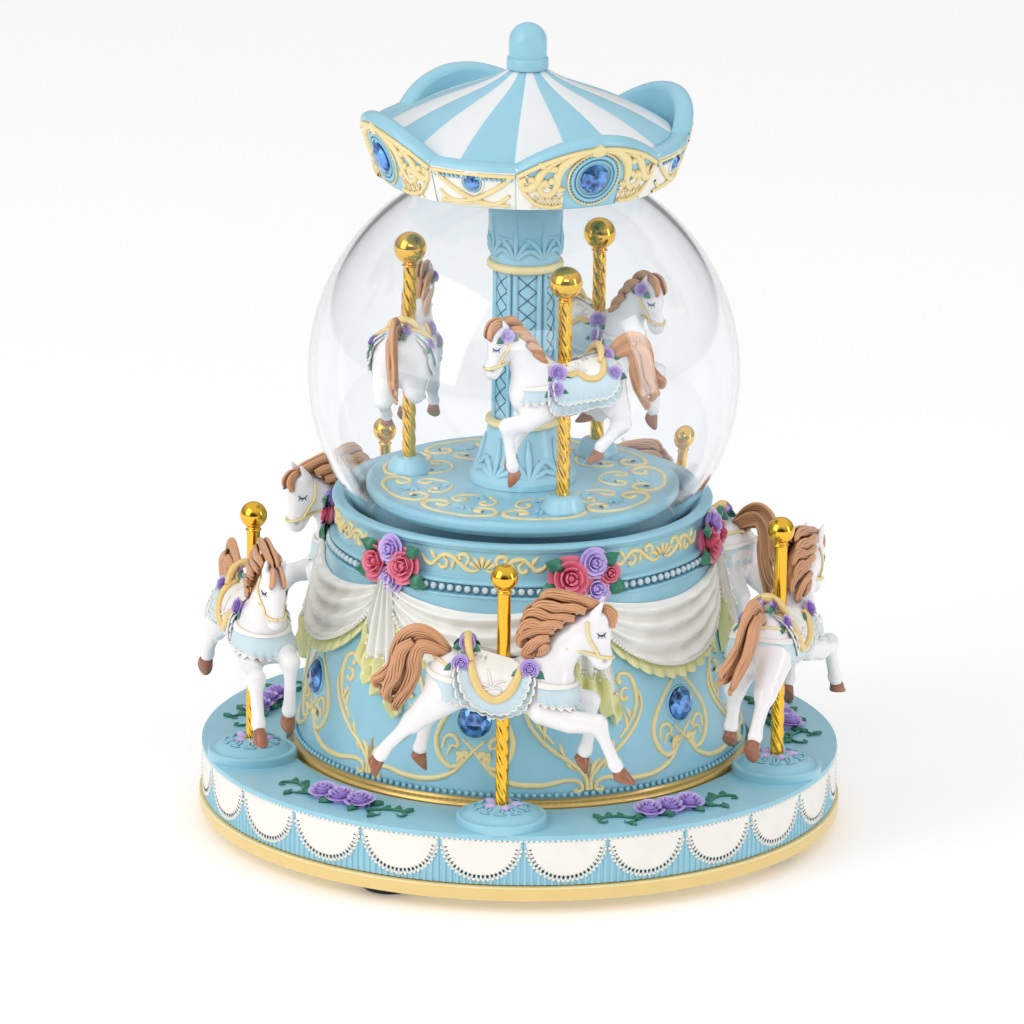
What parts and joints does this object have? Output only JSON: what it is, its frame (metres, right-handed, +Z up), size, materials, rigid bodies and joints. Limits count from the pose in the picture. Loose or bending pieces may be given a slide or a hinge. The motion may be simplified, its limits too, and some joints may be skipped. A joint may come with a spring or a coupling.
{
  "type": "wind-up music box",
  "caption": "Wind-up musical carousel: a ring of leaping horses turns round a turret that carries a glass globe with a smaller carousel inside and a striped canopy.",
  "frame": {"origin": "on the plane the feet stand on, under the centre of the base", "axes": "+Z up, -Y towards the front, +X to the right seen from the front"},
  "size_m": [0.1504, 0.1494, 0.1905],
  "materials": {
    "resin_blue": "cast resin painted pale sky blue, satin gloss",
    "resin_cream": "cast resin painted cream gold, satin",
    "resin_white": "cast resin painted porcelain white, glossy",
    "resin_striped": "cast resin painted in blue and white stripes, satin",
    "resin_rose": "cast resin painted in lavender, pink and green, satin",
    "gold_paint": "metallic gold paint on cast resin",
    "gold_plate": "bright gold plating, polished",
    "blue_gem": "faceted acrylic gem with a mirror back",
    "clear_glass": "clear blown glass, polished",
    "black_rubber": "matt moulded rubber",
    "seal_rubber": "matt grey sealing rubber",
    "steel": "bright steel",
    "spring_steel": "blued spring steel",
    "brass": "machined brass",
    "nylon": "moulded nylon"
  },
  "bodies": {
    "base": {"base_plate": "resin_cream", "rubber_feet": "black_rubber", "base_screws": "steel", "glide_ring": "nylon", "support_posts": "steel", "bedplate": "steel", "turret_foot_ring": "gold_paint", "turret_shell": "resin_blue", "turret_scrollwork": "resin_cream", "turret_gems": "blue_gem", "turret_drapes": "resin_white", "crown_ring": "resin_blue", "crown_scrolls": "resin_cream", "rose_clusters": "resin_rose", "globe_seat": "resin_blue", "globe_gasket": "seal_rubber", "glass_globe": "clear_glass", "canopy_ceiling": "resin_blue", "canopy_large_panels": "resin_blue", "canopy_small_panels": "resin_white", "canopy_roof": "resin_striped", "canopy_gems": "blue_gem", "canopy_finial": "resin_blue", "comb_block": "brass", "music_comb": "steel", "comb_screws": "steel", "movement_bridge": "brass", "governor_bracket": "brass", "winding_click": "steel"},
    "turntable": {"turntable": "resin_blue", "ring_gear": "nylon", "ring_gear_screws": "steel", "lace_trim": "resin_white", "deck_roses": "resin_rose", "outer_pedestals": "resin_blue", "outer_poles": "gold_plate", "outer_horse_1": "resin_white", "outer_horse_2": "resin_white", "outer_horse_3": "resin_white", "outer_horse_4": "resin_white", "outer_horse_5": "resin_white"},
    "idler": {"idler_gear": "nylon"},
    "key": {"winding_key": "brass", "winding_arbor": "steel", "ratchet_wheel": "steel"},
    "inner_carousel": {"sun_gear": "brass", "spring_barrel": "brass", "barrel_cover": "brass", "mainspring": "spring_steel", "drive_shaft": "steel", "inner_platform": "resin_blue", "column": "resin_blue", "inner_poles": "gold_plate", "inner_horse_1": "resin_white", "inner_horse_2": "resin_white", "inner_horse_3": "resin_white"},
    "cylinder": {"music_cylinder": "brass"},
    "governor": {"governor_wheel": "brass"},
    "fly": {"governor_fly": "steel"}
  },
  "joints": [
    {"name": "carousel_spin", "type": "hinge", "parent": "base", "child": "turntable", "pos_m": [0, 0, 0], "axis": [0, 0, 1], "continuous": true},
    {"name": "idler_spin", "type": "hinge", "parent": "base", "child": "idler", "pos_m": [0, 0.03, 0], "axis": [0, 0, 1], "continuous": true},
    {"name": "inner_spin", "type": "hinge", "parent": "base", "child": "inner_carousel", "pos_m": [0, 0, 0], "axis": [0, 0, 1], "continuous": true},
    {"name": "cylinder_spin", "type": "hinge", "parent": "base", "child": "cylinder", "pos_m": [0.02, 0, 0.0428], "axis": [1, 0, 0], "continuous": true},
    {"name": "governor_spin", "type": "hinge", "parent": "base", "child": "governor", "pos_m": [0.03, 0.012, 0.0428], "axis": [1, 0, 0], "continuous": true},
    {"name": "fly_spin", "type": "hinge", "parent": "base", "child": "fly", "pos_m": [0.03, 0.0173, 0.045], "axis": [0, 0, 1], "continuous": true},
    {"name": "winding_turn", "type": "hinge", "parent": "base", "child": "key", "pos_m": [0, 0, 0], "axis": [0, 0, 1], "continuous": true}
  ],
  "couplings": [
    {"joint": "idler_spin", "follows": "carousel_spin", "ratio": 2.6667},
    {"joint": "inner_spin", "follows": "carousel_spin", "ratio": -4},
    {"joint": "cylinder_spin", "follows": "carousel_spin", "ratio": -8},
    {"joint": "governor_spin", "follows": "carousel_spin", "ratio": 16},
    {"joint": "fly_spin", "follows": "carousel_spin", "ratio": -160}
  ]
}
